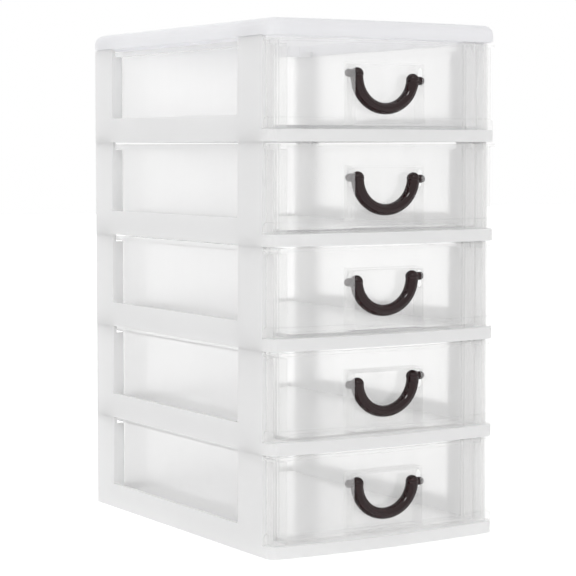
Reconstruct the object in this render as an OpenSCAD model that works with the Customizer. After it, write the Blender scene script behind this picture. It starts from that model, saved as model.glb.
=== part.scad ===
// Small desk tower of five stacked frames under a lid. Each frame carries one clear drawer, and each
// drawer is pulled by a swinging bail handle in a recess. The origin is at the middle of the
// footprint, on the surface that the tower stands on; the drawers open towards -Y and +Z is up.

/* [Tower] */
// Width over the frames
tower_w = 120; // [104:1:200]
// Depth from the middle of the bowed front to the back
tower_d = 170; // [110:1:260]
// How far the middle of the front stands ahead of its corners
front_bow = 3.5; // [2.5:0.1:6]
// Radius of the front corners of the frames and the lid
corner_r = 5; // [3:0.5:8]
// Radius of the back corners of the frames and the lid
back_corner_r = 1; // [0.5:0.1:3]

/* [Frames] */
// Height of one frame, which is the pitch of the drawers
frame_h = 44.7; // [42:0.1:60]
// Thickness of the frame walls
frame_wall = 2; // [1.6:0.1:2.6]
// How much narrower each side of a frame is at its top
frame_draft = 0.4; // [0.1:0.05:0.6]
// Height of the band under the drawer front
front_band_h = 5.3; // [4.8:0.1:6.5]
// Height of the closed band below each side window
side_band_h = 11.5; // [8:0.1:16]
// Height of the closed band below the back window
back_band_h = 8; // [7:0.1:14]
// Distance from the front corners back to the front posts
post_setback = 7; // [6:0.1:10]
// Width of the front posts along the side
front_post_w = 20.7; // [14:0.1:30]
// Width of the back posts along the side
back_post_w = 18.5; // [12:0.1:26]
// Width of the back posts along the back
back_post_wrap = 3; // [3:0.1:12]
// Depth of the inward lips of the posts, from the outer face
post_lip_in = 5.7; // [5:0.1:7.5]
// Thickness of those lips
post_lip_t = 1.7; // [1.2:0.1:2.4]
// Width of the ledge that the drawer slides on
ledge_w = 12; // [8:0.5:18]
// Thickness of that ledge
ledge_t = 1.5; // [1:0.1:2.2]

/* [Stacking tabs] */
// How far a tab stands above its post
tab_rise = 2; // [1.5:0.1:3]
// Length of a tab along the side
tab_len = 8; // [6:0.5:12]
// Thickness of a tab
tab_t = 1; // [0.8:0.1:1.5]
// Clearance of a tab inside the next frame
tab_gap = 0.25; // [0.15:0.05:0.35]

/* [Lid] */
// Height of the lid over its highest point
lid_h = 8.5; // [7:0.1:14]
// Radius of the lid's top edge
lid_edge_r = 4.5; // [2:0.1:5]
// Rise of the lid's top from its edge to its middle
lid_crown = 0.8; // [0.2:0.1:1]
// Thickness of the lid's top
lid_top_t = 2.2; // [1.5:0.1:3]
// Height of the shadow groove under the lid
lid_groove_h = 0.5; // [0.3:0.1:1]
// Depth of that groove
lid_groove_d = 0.9; // [0.4:0.1:1.2]

/* [Drawers] */
// Thickness of the drawer box walls
box_wall = 1.5; // [1.2:0.1:2]
// Thickness of the drawer floor
box_floor = 1.4; // [1:0.1:2.4]
// Clearance between a drawer's rim and the lips of the posts
side_gap = 0.5; // [0.3:0.1:1]
// Clearance between the drawer floor and the ledge
floor_gap = 0.3; // [0.2:0.05:0.5]
// Clearance between the drawer top and the frame above
top_gap = 0.9; // [0.5:0.1:1.5]
// Gap between the drawer box and the frame at the back
back_gap = 4.5; // [3:0.1:12]
// Radius of the drawer box's back corners
box_corner_r = 5; // [2:0.5:12]
// Width of the rim around the top of the box
rim_w = 3.2; // [1.2:0.1:4]
// Height of the rim
rim_t = 2.3; // [1.5:0.1:3]

/* [Drawer front] */
// How far the front panel is set back from the front of the bands
panel_setback = 1.3; // [0.8:0.1:1.4]
// Thickness of the front panel
panel_t = 1.2; // [1:0.1:1.3]
// How much narrower the panel is than the frame, on each side
panel_inset = 1.4; // [1:0.1:1.8]
// Radius of the panel's upright edges
panel_edge_r = 2.4; // [1.8:0.1:3]
// Thickness of the panel's side returns
return_t = 1.4; // [1:0.1:1.6]
// Gap between the side returns and the posts behind them
return_gap = 0.4; // [0.3:0.1:0.8]
// How much narrower the flange and the foot strip are than the frame, on each side
trim_inset = 0.2; // [0:0.1:0.6]
// Thickness of the flange over the top of the front
flange_t = 1.3; // [1:0.1:2]
// Radius of the upright edges of the flange
flange_edge_r = 1.6; // [1:0.1:4]
// Radius of the upright edges of the foot strip
strip_edge_r = 3.6; // [2.6:0.1:5]
// Height of the foot strip
strip_h = 4.7; // [3.5:0.1:6]
// Height of the rounded top of the foot strip
strip_round_h = 2.2; // [1:0.1:3]

/* [Handle recess] */
// Width of the recess
recess_w = 36.6; // [36:0.1:44]
// Height of the top of the recess above the frame's foot
recess_top = 33.4; // [33.2:0.1:36]
// Height of the bottom of the recess above the frame's foot
recess_bottom = 7.8; // [7.5:0.1:9]
// Distance from the front corners back to the recess's back
recess_back = 5; // [5:0.1:8]
// How much narrower each side of the recess is at its back
recess_taper = 0.4; // [0:0.1:0.4]
// Thickness of the recess walls
recess_wall = 0.9; // [0.8:0.1:1.3]

/* [Handles] */
// Thickness of the bail, seen from the front
bail_t = 5.5; // [4.5:0.1:5.8]
// Depth of the bail, from front to back
bail_depth = 6; // [5:0.1:6.2]
// Distance from the middle to the middle line of each arm
bail_half_w = 14.8; // [12:0.1:14.8]
// Distance from the pins down to the middle line of the bail
bail_drop = 13.8; // [11:0.1:15]
// Diameter of the pins
pin_d = 3.7; // [3:0.1:3.8]
// How far the pins reach from the middle
pin_reach = 20.9; // [20.6:0.1:24]
// Distance from the front corners back to the pins
pin_y = 1.6; // [1.5:0.1:1.8]
// Height of the middle of the pin slots above the frame's foot
slot_mid_h = 28.7; // [28.6:0.1:28.8]
// Height of the slots
slot_h = 8; // [7.8:0.1:8.2]
// Clearance between a pin and the long sides of its slot
slot_gap = 0.3; // [0.2:0.05:0.4]
// Tilt of each bail in its slots, top drawer first, in degrees
bail_tilts = [4.3, 1.2, -2.4, -3.1, 3.2]; // [-4.5:0.1:4.5]
// Height of each bail above the middle of its slots
bail_lifts = [-0.5, 0, 0.4, 0.4, -0.5]; // [-0.5:0.1:0.5]
// How far each bail sits to the right in its recess
bail_shifts = [-0.3, 0.2, -0.3, 0.3, 0.3]; // [-0.3:0.1:0.3]

/* [Hidden] */
levels = len(bail_tilts);
$fn = 48;

// Fine steps of the outlines: along the bow, round a corner, and over a rounded edge
bow_steps = 14;
corner_steps = 6;
edge_steps = 6;
// How far cutting shapes and hidden roots run past a face
overlap = 1;
// Radii of edges that are all but sharp, and of the front edges of the drawer box
tight_r = 0.5;
box_front_r = 1;
// How much wider the elbows of a bail are than its ring
elbow_swell = 0.2;
// Where the rings of the lid's crown lie, from its rounded edge to its middle
crown_parts = [0.15, 0.35, 0.6, 0.85];

half_w = tower_w / 2;
back_y = tower_d / 2;
front_mid_y = -tower_d / 2;
front_corner_y = front_mid_y + front_bow;
bow_r = (half_w * half_w + front_bow * front_bow) / (2 * front_bow);
bow_y = front_mid_y + bow_r;

inner_half_w = half_w - frame_wall;
inner_back_y = back_y - frame_wall;
post_front_y = front_corner_y + post_setback;
window_front_y = post_front_y + front_post_w;
window_back_y = back_y - back_post_w;
lip_half_w = half_w - post_lip_in;
ledge_z = front_band_h - ledge_t;
stack_h = levels * frame_h;

box_half_w = lip_half_w - side_gap - rim_w;
box_back_y = inner_back_y - back_gap;
drawer_z = front_band_h + floor_gap;
drawer_top = frame_h - top_gap;
rim_z = drawer_top - rim_t;
flange_z = drawer_top - flange_t;
lip_top = rim_z - floor_gap;
return_back_y = post_front_y - return_gap;
panel_half_w = half_w - panel_inset;
trim_half_w = half_w - trim_inset;
panel_back = panel_setback + panel_t;

frame_white = [0.90, 0.91, 0.92];
lid_white = [0.91, 0.92, 0.95];
drawer_clear = [0.93, 0.95, 0.97, 0.45];
handle_brown = [0.17, 0.11, 0.10];

// Height of the foot of the frame at a level, counted from the top
function level_z(level) = (levels - level) * frame_h;

// Points along an arc round a centre, both ends included
function arc(centre, r, a0, a1, steps) =
  [for (i = [0:steps]) let (a = a0 + (a1 - a0) * i / steps) centre + r * [cos(a), sin(a)]];

// Outline seen from above: straight sides, bowed front set back by a distance, and rounded corners
function plan(setback, half, edge_r, back, back_r) =
  let (
    r = bow_r - setback,
    cx = half - edge_r,
    cy = bow_y - sqrt((r - edge_r) * (r - edge_r) - cx * cx),
    turn = atan2(cx, bow_y - cy),
    bow = arc([0, bow_y], r, 270 - turn, 270 + turn, bow_steps)
  )
  concat(
    arc([-half + back_r, back - back_r], back_r, 90, 180, corner_steps),
    arc([-cx, cy], edge_r, 180, 270 - turn, corner_steps),
    [for (i = [1:bow_steps - 1]) bow[i]],
    arc([cx, cy], edge_r, 270 + turn, 360, corner_steps),
    arc([half - back_r, back - back_r], back_r, 0, 90, corner_steps)
  );

// The outline of the frames and the lid, moved inwards by a distance
function shell_plan(inset) =
  plan(
    inset, half_w - inset, max(corner_r - inset, tight_r),
    back_y - inset, max(back_corner_r - inset, tight_r)
  );

function at_height(points, z) = [for (p = points) [p.x, p.y, z]];

// Closed solid through a stack of rings that all have the same number of points
module skin(rings) {
  count = len(rings[0]);
  sides = [
    for (k = [0:len(rings) - 2], i = [0:count - 1])
      let (j = (i + 1) % count)
        [k * count + i, k * count + j, (k + 1) * count + j, (k + 1) * count + i]
  ];
  triangles = [for (q = sides) each [[q[0], q[3], q[2]], [q[0], q[2], q[1]]]];
  foot = [for (i = [0:count - 1]) i];
  top = [for (i = [count - 1:-1:0]) (len(rings) - 1) * count + i];
  polyhedron(points = [for (ring = rings) each ring], faces = concat([foot, top], triangles));
}

// Upright wall between two outlines
module upright(z0, z1, outer, inner) {
  translate([0, 0, z0])
    difference() {
      linear_extrude(z1 - z0) polygon(outer);
      translate([0, 0, -overlap]) linear_extrude(z1 - z0 + 2 * overlap) polygon(inner);
    }
}

// A box given by its lowest and highest corners
module block(low, high) {
  translate(low) cube(high - low);
}

module on_both_sides() {
  children();
  mirror([1, 0, 0]) children();
}

// Wedge that is cut off one side, so that the frame gets narrower above its front band
module draft_wedge() {
  translate([0, back_y + overlap, 0]) rotate([90, 0, 0])
    linear_extrude(tower_d + 2 * overlap)
      polygon([
        [half_w, front_band_h], [half_w + overlap, front_band_h],
        [half_w + overlap, frame_h + overlap], [half_w - frame_draft, frame_h + overlap],
        [half_w - frame_draft, frame_h],
      ]);
}

// An inward lip that stiffens an edge of a post and guides the drawer's rim
module post_lip(y0) {
  block(
    [lip_half_w, y0, ledge_z],
    [half_w - frame_wall / 2, y0 + post_lip_t, lip_top]
  );
}

// The tab on top of a post that holds the next frame, or the lid, in place
module stacking_tab(y_mid) {
  face = inner_half_w - tab_gap;
  root_z = frame_h - 2 * tab_rise;
  y0 = y_mid - tab_len / 2;
  y1 = y_mid + tab_len / 2;
  block([face - tab_t, y0, root_z], [face, y1, frame_h + tab_rise]);
  // Root that joins the tab to its post
  block([face - tab_t, y0, root_z], [half_w - frame_wall / 2, y1, frame_h - overlap]);
}

// Four walls with a mouth for the drawer at the front and windows in the sides and the back
module frame_walls() {
  over = frame_h + overlap;
  difference() {
    upright(0, frame_h, shell_plan(0), shell_plan(frame_wall));
    block(
      [-half_w - overlap, front_mid_y - overlap, front_band_h],
      [half_w + overlap, post_front_y, over]
    );
    block(
      [-half_w - overlap, window_front_y, side_band_h],
      [half_w + overlap, window_back_y, over]
    );
    block(
      [-half_w + back_post_wrap, window_back_y, back_band_h],
      [half_w - back_post_wrap, back_y + overlap, over]
    );
    on_both_sides() draft_wedge();
  }
}

// Ledge around an open floor
module drawer_ledge() {
  difference() {
    translate([0, 0, ledge_z]) linear_extrude(ledge_t) polygon(shell_plan(frame_wall / 2));
    block(
      [-inner_half_w + ledge_w, front_corner_y + ledge_w, ledge_z - overlap],
      [inner_half_w - ledge_w, inner_back_y - ledge_w, front_band_h + overlap]
    );
  }
}

module frame_at(level) {
  color(frame_white) translate([0, 0, level_z(level)]) {
    frame_walls();
    drawer_ledge();
    on_both_sides() {
      post_lip(post_front_y);
      post_lip(window_front_y - post_lip_t);
      post_lip(window_back_y);
      stacking_tab(post_front_y + front_post_w / 2);
      stacking_tab(back_y - back_post_w / 2 - post_lip_t);
    }
  }
}

module lid() {
  foot = stack_h;
  edge_z = foot + lid_h - lid_crown - lid_edge_r;
  // Insets of the crowned top, from the rounded edge to the middle
  crown_span = half_w - corner_r - lid_edge_r;
  edge_rings = [
    for (i = [0:edge_steps]) let (a = 90 * i / edge_steps)
      at_height(shell_plan(lid_edge_r * (1 - cos(a))), edge_z + lid_edge_r * sin(a))
  ];
  crown_rings = [
    for (t = crown_parts)
      at_height(
        shell_plan(lid_edge_r + crown_span * t),
        foot + lid_h - lid_crown * (1 - t) * (1 - t)
      )
  ];
  color(lid_white)
    difference() {
      skin(concat([at_height(shell_plan(0), foot)], edge_rings, crown_rings));
      // Hollow underside
      translate([0, 0, foot - overlap])
        linear_extrude(lid_h - lid_crown - lid_top_t + overlap) polygon(shell_plan(frame_wall));
      // Shadow groove along the foot
      upright(foot - overlap, foot + lid_groove_h, shell_plan(-overlap), shell_plan(lid_groove_d));
    }
}

// The inside face of the drawer front, open at the back so that it cuts a wall to a U
function front_inner() =
  plan(panel_back, panel_half_w - return_t, box_front_r, return_back_y + overlap, tight_r);

// Upright wall of the drawer front with its side returns
module front_panel() {
  upright(
    drawer_z, flange_z + flange_t / 2,
    plan(panel_setback, panel_half_w, panel_edge_r, return_back_y, tight_r), front_inner()
  );
}

// Thin flange over the top of the drawer front, flush with the bands
module front_flange() {
  upright(
    flange_z, drawer_top,
    plan(0, trim_half_w, flange_edge_r, return_back_y, tight_r), front_inner()
  );
}

// Strip along the foot of the drawer front, with a rounded top
module foot_strip() {
  function strip_ring(setback, z) =
    at_height(
      plan(
        setback, trim_half_w - setback * (panel_inset - trim_inset) / panel_setback,
        strip_edge_r, return_back_y, tight_r
      ), z
    );
  top = drawer_z + strip_h;
  difference() {
    skin(concat(
      [strip_ring(0, drawer_z)],
      [
        for (i = [0:edge_steps]) let (a = 90 * i / edge_steps)
          strip_ring(panel_setback * (1 - cos(a)), top - strip_round_h * (1 - sin(a)))
      ]
    ));
    translate([0, 0, drawer_z - overlap]) linear_extrude(strip_h + 2 * overlap)
      polygon(front_inner());
  }
}

// Outline of the drawer box behind the face of its panel, moved outwards by a distance
function box_plan(outset) =
  plan(
    panel_setback, box_half_w + outset, box_front_r,
    box_back_y + outset, box_corner_r + outset
  );

// Open-topped box with a rim
module drawer_box() {
  difference() {
    union() {
      translate([0, 0, drawer_z]) linear_extrude(drawer_top - drawer_z) polygon(box_plan(0));
      translate([0, 0, rim_z]) linear_extrude(rim_t) polygon(box_plan(rim_w));
    }
    translate([0, 0, drawer_z + box_floor]) linear_extrude(frame_h)
      polygon(
        plan(
          panel_back, box_half_w - box_wall, box_front_r,
          box_back_y - box_wall, box_corner_r - box_wall
        )
      );
  }
}

// Outline of the recess seen from above, narrower at its back, moved outwards by a distance
function recess_plan(outset) =
  let (
    mouth = recess_w / 2 + outset,
    mouth_y = front_mid_y - overlap,
    far_y = front_corner_y + recess_back + outset
  )
  [[-mouth, mouth_y], [mouth, mouth_y], [mouth - recess_taper, far_y], [-mouth + recess_taper, far_y]];

// Walls of the recess, cut to the bow of the panel
module recess_walls() {
  intersection() {
    translate([0, 0, drawer_z]) linear_extrude(recess_top + recess_wall - drawer_z)
      polygon(recess_plan(recess_wall));
    translate([0, 0, drawer_z]) linear_extrude(frame_h) polygon(box_plan(0));
  }
}

// Upright slots through both side walls of the recess
module pin_slots() {
  width = pin_d + 2 * slot_gap;
  travel = (slot_h - width) / 2;
  reach = recess_w / 2 + recess_wall + overlap;
  translate([-reach, front_corner_y + pin_y, slot_mid_h]) rotate([0, 90, 0]) {
    for (end = [-travel, travel])
      translate([end, 0, 0]) cylinder(d = width, h = 2 * reach);
    block([-travel, -width / 2, 0], [travel, width / 2, 2 * reach]);
  }
}

module drawer_at(level) {
  color(drawer_clear) translate([0, 0, level_z(level)])
    difference() {
      union() {
        front_panel();
        front_flange();
        foot_strip();
        drawer_box();
        recess_walls();
      }
      translate([0, 0, recess_bottom]) linear_extrude(recess_top - recess_bottom)
        polygon(recess_plan(0));
      intersection() {
        pin_slots();
        block(
          [-half_w, front_corner_y + pin_y - pin_d, 0],
          [half_w, front_corner_y + recess_back, frame_h]
        );
      }
    }
}

// The half-round bail between its two pins
module bail_ring() {
  end_d = bail_t + elbow_swell;
  scale([1, bail_depth / bail_t, 1]) {
    scale([1, 1, bail_drop / bail_half_w]) rotate([90, 0, 0]) rotate([0, 0, 180])
      rotate_extrude(angle = 180, $fn = 96) translate([bail_half_w, 0]) circle(d = bail_t);
    on_both_sides() translate([bail_half_w, 0, 0]) sphere(d = end_d);
  }
}

// Bail with short round-ended pins that turn in the slots of the recess
module bail_at(level) {
  pin_end = pin_reach - pin_d / 2;
  pin_z = level_z(level) + slot_mid_h + bail_lifts[level - 1];
  color(handle_brown)
    translate([bail_shifts[level - 1], front_corner_y + pin_y, pin_z])
      rotate([0, bail_tilts[level - 1], 0]) {
        bail_ring();
        on_both_sides() {
          translate([bail_half_w, 0, 0]) rotate([0, 90, 0]) cylinder(d = pin_d, h = pin_end - bail_half_w);
          translate([pin_end, 0, 0]) sphere(d = pin_d);
        }
      }
}

lid();
frame_at(1);  // frame_1
frame_at(2);  // frame_2
frame_at(3);  // frame_3
frame_at(4);  // frame_4
frame_at(5);  // frame_5
drawer_at(1);  // drawer_1
drawer_at(2);  // drawer_2
drawer_at(3);  // drawer_3
drawer_at(4);  // drawer_4
drawer_at(5);  // drawer_5
bail_at(1);  // bail_handle_1
bail_at(2);  // bail_handle_2
bail_at(3);  // bail_handle_3
bail_at(4);  // bail_handle_4
bail_at(5);  // bail_handle_5
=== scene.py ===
"""Looks, camera and light for the plastic drawer tower. Metres throughout, in the frame of the CAD."""
import math

import bpy
from mathutils import Euler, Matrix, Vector

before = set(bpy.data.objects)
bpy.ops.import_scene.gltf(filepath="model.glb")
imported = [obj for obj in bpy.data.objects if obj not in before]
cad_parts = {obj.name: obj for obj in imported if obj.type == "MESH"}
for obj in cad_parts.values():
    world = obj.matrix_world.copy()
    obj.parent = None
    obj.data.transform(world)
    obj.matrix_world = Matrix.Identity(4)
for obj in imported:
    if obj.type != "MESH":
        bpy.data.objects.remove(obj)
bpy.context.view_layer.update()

MM = 0.001
WHITE = (1, 1, 1, 1)
LEVELS = range(1, 6)
FRAMES = [f"frame_{k}" for k in LEVELS]
DRAWERS = [f"drawer_{k}" for k in LEVELS]
HANDLES = [f"bail_handle_{k}" for k in LEVELS]

# ---- camera --------------------------------------------------------------------------------------

CAMERA_PLACE = Vector((-0.48587, -0.78205, 0.17527))
CAMERA_TURN = math.radians(31.82)     # to the right of +Y
CAMERA_DIP = math.radians(3.85)       # below the horizon
FOCAL_PX = 1942.3
PHOTO_PX = 576
SENSOR_MM = 36.0
CENTRE_ROW_PX = 280.4


def make_camera():
    data = bpy.data.cameras.new("camera")
    data.sensor_width = SENSOR_MM
    data.lens = SENSOR_MM * FOCAL_PX / PHOTO_PX
    data.shift_y = (CENTRE_ROW_PX - PHOTO_PX / 2) / PHOTO_PX
    camera = bpy.data.objects.new("camera", data)
    camera.location = CAMERA_PLACE
    camera.rotation_euler = Euler((math.pi / 2 - CAMERA_DIP, 0, -CAMERA_TURN), "XYZ")
    bpy.context.collection.objects.link(camera)
    bpy.context.scene.camera = camera


# ---- light and surroundings ----------------------------------------------------------------------

ROOM_LIGHT = 0.655
BACKDROP_LIGHT = 1.0

FLOOR_SIZE = 8.0
FLOOR_DROP = 0.4 * MM                 # keeps the floor off the foot of the tower
FLOOR_WHITE = 0.97
FLOOR_GLOW = 0.28

# Name, the way the light goes, strength, and spread in degrees
SUNS = [
    ("overhead", (0.1, -0.1, -1), 0.27, 60),
    ("upper_left", (0.38, 0.5, -0.73), 0.55, 13),
    ("from_behind", (-0.15, -0.95, -0.3), 0.42, 50),
]


def larger_of(nodes, links, a, b):
    larger = nodes.new("ShaderNodeMath")
    larger.operation = "MAXIMUM"
    links.new(a, larger.inputs[0])
    links.new(b, larger.inputs[1])
    return larger.outputs[0]


def seen_directly(nodes, links):
    """1 for what is seen, also mirrored or through clear plastic, and 0 for what lights the object."""
    path = nodes.new("ShaderNodeLightPath").outputs
    seen = larger_of(nodes, links, path["Is Camera Ray"], path["Is Glossy Ray"])
    return larger_of(nodes, links, seen, path["Is Transmission Ray"])


def background(nodes, strength):
    shader = nodes.new("ShaderNodeBackground")
    shader.inputs["Color"].default_value = WHITE
    shader.inputs["Strength"].default_value = strength
    return shader.outputs[0]


def make_world():
    """White where the tower is looked past or mirrors the room, and softer where the room lights it."""
    world = bpy.data.worlds.new("studio")
    bpy.context.scene.world = world
    world.use_nodes = True
    nodes, links = world.node_tree.nodes, world.node_tree.links
    nodes.clear()
    output = nodes.new("ShaderNodeOutputWorld")
    mix = nodes.new("ShaderNodeMixShader")
    links.new(seen_directly(nodes, links), mix.inputs["Fac"])
    links.new(background(nodes, ROOM_LIGHT), mix.inputs[1])
    links.new(background(nodes, BACKDROP_LIGHT), mix.inputs[2])
    links.new(mix.outputs[0], output.inputs["Surface"])


def make_sun(name, travel, strength, spread):
    """A broad, even light from far away."""
    data = bpy.data.lights.new(name, "SUN")
    data.energy = strength
    data.angle = math.radians(spread)
    light = bpy.data.objects.new(name, data)
    light.rotation_euler = Vector(travel).to_track_quat("-Z", "Y").to_euler()
    bpy.context.collection.objects.link(light)


def make_floor():
    """White floor with a glow of its own, which lifts it to the white of the backdrop."""
    bpy.ops.mesh.primitive_plane_add(size=FLOOR_SIZE, location=(0, 0, -FLOOR_DROP))
    floor = bpy.context.object
    floor.name = "studio_floor"
    material, shader = new_material("pale_floor")
    shader.inputs["Base Color"].default_value = (FLOOR_WHITE, FLOOR_WHITE, FLOOR_WHITE, 1)
    shader.inputs["Roughness"].default_value = 0.6
    shader.inputs["Specular IOR Level"].default_value = 0.2
    shader.inputs["Emission Color"].default_value = WHITE
    shader.inputs["Emission Strength"].default_value = FLOOR_GLOW
    floor.data.materials.append(material)


# ---- milky plastic of the frames and the lid -------------------------------------------------------

# Lighter and darker colour of the plastic, and the share of the light that it lets through
LID_COLOURS = (0.936, 0.936, 0.946), (0.926, 0.926, 0.936)
LID_GLOW = 0.5
FRAME_COLOURS = (0.918, 0.918, 0.918), (0.904, 0.904, 0.904)
FRAME_GLOW = 0.4

LID_EDGE = 0.25 * MM
FRAME_EDGE = 0.3 * MM
EDGE_STEPS = 2
EDGE_ANGLE = math.radians(35)         # edges sharper than this are softened


def new_material(name):
    material = bpy.data.materials.new(name)
    material.use_nodes = True
    return material, material.node_tree.nodes["Principled BSDF"]


def noise(nodes, scale, detail):
    texture = nodes.new("ShaderNodeTexNoise")
    texture.inputs["Scale"].default_value = scale
    texture.inputs["Detail"].default_value = detail
    return texture


def milky_plastic(name, colours, glow_share):
    """Milky plastic that scatters light back and also lets part of it through."""
    light, dark = colours
    material, shader = new_material(name)
    nodes, links = material.node_tree.nodes, material.node_tree.links
    shader.inputs["Roughness"].default_value = 0.42
    shader.inputs["IOR"].default_value = 1.49
    place = nodes.new("ShaderNodeTexCoord")

    # Clouds of the two colours
    cloud = noise(nodes, 14, 3)
    ramp = nodes.new("ShaderNodeValToRGB")
    ramp.color_ramp.elements[0].position = 0.35
    ramp.color_ramp.elements[0].color = (*dark, 1)
    ramp.color_ramp.elements[1].position = 0.7
    ramp.color_ramp.elements[1].color = (*light, 1)
    links.new(place.outputs["Object"], cloud.inputs["Vector"])
    links.new(cloud.outputs["Fac"], ramp.inputs["Fac"])
    links.new(ramp.outputs["Color"], shader.inputs["Base Color"])

    # Fine grain of the mould
    grain = noise(nodes, 900, 2)
    bump = nodes.new("ShaderNodeBump")
    bump.inputs["Strength"].default_value = 0.05
    bump.inputs["Distance"].default_value = 0.2 * MM
    links.new(place.outputs["Object"], grain.inputs["Vector"])
    links.new(grain.outputs["Fac"], bump.inputs["Height"])
    links.new(bump.outputs["Normal"], shader.inputs["Normal"])

    glow = nodes.new("ShaderNodeBsdfTranslucent")
    mix = nodes.new("ShaderNodeMixShader")
    mix.inputs["Fac"].default_value = glow_share
    links.new(ramp.outputs["Color"], glow.inputs["Color"])
    links.new(shader.outputs[0], mix.inputs[1])
    links.new(glow.outputs[0], mix.inputs[2])
    links.new(mix.outputs[0], nodes["Material Output"].inputs["Surface"])
    return material


def soften(names, width):
    for name in names:
        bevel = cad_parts[name].modifiers.new("soft_edges", "BEVEL")
        bevel.width = width
        bevel.segments = EDGE_STEPS
        bevel.limit_method = "ANGLE"
        bevel.angle_limit = EDGE_ANGLE
        bevel.harden_normals = True


# ---- clear plastic of the drawers ------------------------------------------------------------------

# Share of the skin that the haze covers, face-on and edge-on, and the same for the gloss
HAZE = 0.165, 0.45
GLOSS = 0.04, 0.75
SLANT_POWER = 4                       # how late the edge-on share sets in
WAVES = 0.02                          # how far the haze rises and falls in slow waves
BOX_HAZE = -0.08, 0.12                # what the box adds to the haze: upright and level skins
BOX_BLUR = 0.75                       # share of the box's skin that blurs what lies behind it
BOX_FRONT_Y = -69.5 * MM              # behind the recess and the front ledge, with the drawers in
BOX_BLEND = 2 * MM                    # over which the box's skin sets in
# Radius within which the corners are found, and the haze added along them. The corners also get a
# painted shade in the haze's colour.
CORNER_RADIUS = 0.45 * MM
CORNER_HAZE = 0.1


def map_range(nodes, links, value, low, high, source=(0, 1)):
    """value, mapped from the source range to low and high, and kept between them."""
    mapped = nodes.new("ShaderNodeMapRange")
    mapped.inputs["From Min"].default_value, mapped.inputs["From Max"].default_value = source
    mapped.inputs["To Min"].default_value = low
    mapped.inputs["To Max"].default_value = high
    links.new(value, mapped.inputs["Value"])
    return mapped.outputs["Result"]


def math_of(nodes, links, operation, a, b):
    """The operation on a socket and on another socket or a number, as a socket."""
    result = nodes.new("ShaderNodeMath")
    result.operation = operation
    links.new(a, result.inputs[0])
    if isinstance(b, (int, float)):
        result.inputs[1].default_value = b
    else:
        links.new(b, result.inputs[1])
    return result


def by_slant(nodes, links, slant, face_on, edge_on):
    """A share that grows from face-on to edge-on."""
    steep = math_of(nodes, links, "POWER", slant, SLANT_POWER)
    return map_range(nodes, links, steep.outputs[0], face_on, edge_on)


def slow_waves(nodes, links, place):
    """Upright waves in the haze, as the melt left them."""
    stretch = nodes.new("ShaderNodeMapping")
    stretch.inputs["Scale"].default_value = (1, 1, 0.25)
    waves = noise(nodes, 90, 2)
    links.new(place.outputs["Object"], stretch.inputs["Vector"])
    links.new(stretch.outputs[0], waves.inputs["Vector"])
    return map_range(nodes, links, waves.outputs["Fac"], -WAVES, WAVES, source=(0.3, 0.7))


def in_the_box(nodes, links, place):
    """How much of the box's skin is here: none on the front, and BOX_BLUR from the box on."""
    depth = nodes.new("ShaderNodeSeparateXYZ")
    links.new(place.outputs["Object"], depth.inputs[0])
    return map_range(
        nodes, links, depth.outputs["Y"], 0, BOX_BLUR, source=(BOX_FRONT_Y - BOX_BLEND, BOX_FRONT_Y)
    )


def box_haze(nodes, links, place, in_box):
    """The box's floor is moulded with a fine texture, so level skins are hazier than upright ones."""
    upward = nodes.new("ShaderNodeSeparateXYZ")
    level = nodes.new("ShaderNodeMath")
    level.operation = "ABSOLUTE"
    links.new(place.outputs["Normal"], upward.inputs[0])
    links.new(upward.outputs["Z"], level.inputs[0])
    texture = map_range(nodes, links, level.outputs[0], *BOX_HAZE, source=(0.8, 1))
    return math_of(nodes, links, "MULTIPLY", texture, in_box).outputs[0]


def corner_shade_and_haze_mask(nodes, links):
    """1 along the corners and 0 elsewhere. It is the mask for the painted shade that greys the haze
    there, and for the thicker haze where more plastic gathers.
    """
    rounded = nodes.new("ShaderNodeBevel")
    rounded.samples = 6
    rounded.inputs["Radius"].default_value = CORNER_RADIUS
    surface = nodes.new("ShaderNodeNewGeometry")
    apart = nodes.new("ShaderNodeVectorMath")
    apart.operation = "DISTANCE"
    links.new(rounded.outputs[0], apart.inputs[0])
    links.new(surface.outputs["Normal"], apart.inputs[1])
    return map_range(nodes, links, apart.outputs["Value"], 0, 1, source=(0.1, 0.7))


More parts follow.
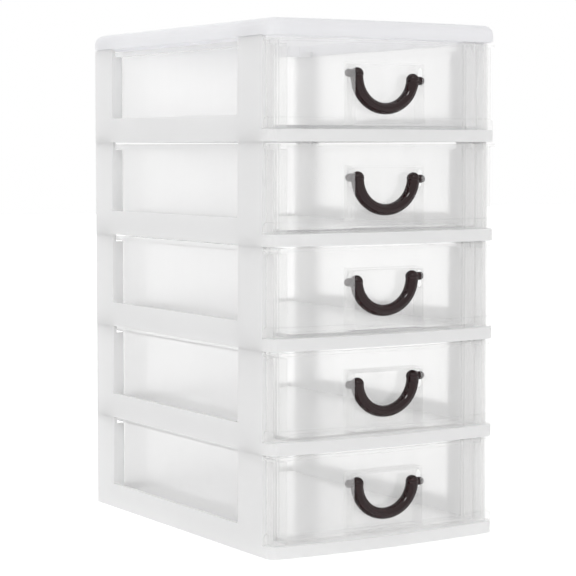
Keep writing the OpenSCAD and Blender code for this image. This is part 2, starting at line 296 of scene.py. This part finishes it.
def clear_plastic(name):
    """Clear plastic with a light haze, painted shade along the corners, and a glossy skin. The box
    behind the front also blurs.
    """
    material, shader = new_material(name)
    nodes, links = material.node_tree.nodes, material.node_tree.links
    place = nodes.new("ShaderNodeTexCoord")
    slant = nodes.new("ShaderNodeLayerWeight")
    slant.inputs["Blend"].default_value = 0.5
    in_box = in_the_box(nodes, links, place)
    corner_shade_and_haze = corner_shade_and_haze_mask(nodes, links)

    # What is seen through the plastic
    through = nodes.new("ShaderNodeBsdfTransparent")
    through.inputs["Color"].default_value = (1.0, 1.0, 0.997, 1)
    blur = nodes.new("ShaderNodeBsdfRefraction")
    blur.inputs["Color"].default_value = (0.995, 0.995, 0.995, 1)
    blur.inputs["Roughness"].default_value = 0.7
    blur.inputs["IOR"].default_value = 1.12
    mat_skin = nodes.new("ShaderNodeMixShader")
    links.new(in_box, mat_skin.inputs["Fac"])
    links.new(through.outputs[0], mat_skin.inputs[1])
    links.new(blur.outputs[0], mat_skin.inputs[2])

    # The haze, with painted shade that makes it greyer along the corners
    haze_colour_and_corner_shade = nodes.new("ShaderNodeMix")
    haze_colour_and_corner_shade.data_type = "RGBA"
    haze_colour_and_corner_shade.inputs["A"].default_value = (0.986, 0.984, 0.99, 1)
    # B is painted shade: the greyer colour of the haze along the corners
    haze_colour_and_corner_shade.inputs["B"].default_value = (0.95, 0.95, 0.955, 1)
    shader.inputs["Roughness"].default_value = 0.3
    glow = nodes.new("ShaderNodeBsdfTranslucent")
    haze = nodes.new("ShaderNodeMixShader")
    haze.inputs["Fac"].default_value = 0.5
    links.new(corner_shade_and_haze, haze_colour_and_corner_shade.inputs["Factor"])
    links.new(haze_colour_and_corner_shade.outputs["Result"], shader.inputs["Base Color"])
    links.new(haze_colour_and_corner_shade.outputs["Result"], glow.inputs["Color"])
    links.new(shader.outputs[0], haze.inputs[1])
    links.new(glow.outputs[0], haze.inputs[2])

    cover = by_slant(nodes, links, slant.outputs["Facing"], *HAZE)
    for extra in (
        slow_waves(nodes, links, place),
        box_haze(nodes, links, place, in_box),
        math_of(nodes, links, "MULTIPLY", corner_shade_and_haze, CORNER_HAZE).outputs[0],
    ):
        total = math_of(nodes, links, "ADD", cover, extra)
        total.use_clamp = True
        cover = total.outputs[0]
    wall = nodes.new("ShaderNodeMixShader")
    links.new(cover, wall.inputs["Fac"])
    links.new(mat_skin.outputs[0], wall.inputs[1])
    links.new(haze.outputs[0], wall.inputs[2])

    skin = nodes.new("ShaderNodeBsdfGlossy")
    skin.inputs["Color"].default_value = WHITE
    skin.inputs["Roughness"].default_value = 0.08
    gloss = nodes.new("ShaderNodeMixShader")
    links.new(by_slant(nodes, links, slant.outputs["Facing"], *GLOSS), gloss.inputs["Fac"])
    links.new(wall.outputs[0], gloss.inputs[1])
    links.new(skin.outputs[0], gloss.inputs[2])
    links.new(gloss.outputs[0], nodes["Material Output"].inputs["Surface"])
    return material


# ---- brown plastic of the bails, and the dressing --------------------------------------------------

def brown_plastic(name):
    material, shader = new_material(name)
    shader.inputs["Base Color"].default_value = (0.0135, 0.0018, 0.0024, 1)
    shader.inputs["Roughness"].default_value = 0.1
    shader.inputs["IOR"].default_value = 1.5
    shader.inputs["Specular IOR Level"].default_value = 0.35
    return material


def dress(names, material):
    for name in names:
        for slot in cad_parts[name].material_slots:
            slot.material = material


bpy.context.scene.view_settings.view_transform = "Standard"
cycles = bpy.context.scene.cycles
cycles.max_bounces = 24
cycles.diffuse_bounces = 16
cycles.glossy_bounces = 8
cycles.transmission_bounces = 16
cycles.transparent_max_bounces = 32

make_camera()
make_world()
make_floor()
for sun in SUNS:
    make_sun(*sun)

soften(FRAMES, FRAME_EDGE)
soften(["lid"], LID_EDGE)
dress(["lid"], milky_plastic("lid_plastic", LID_COLOURS, LID_GLOW))
dress(FRAMES, milky_plastic("frame_plastic", FRAME_COLOURS, FRAME_GLOW))
dress(DRAWERS, clear_plastic("drawer_plastic"))
dress(HANDLES, brown_plastic("handle_plastic"))
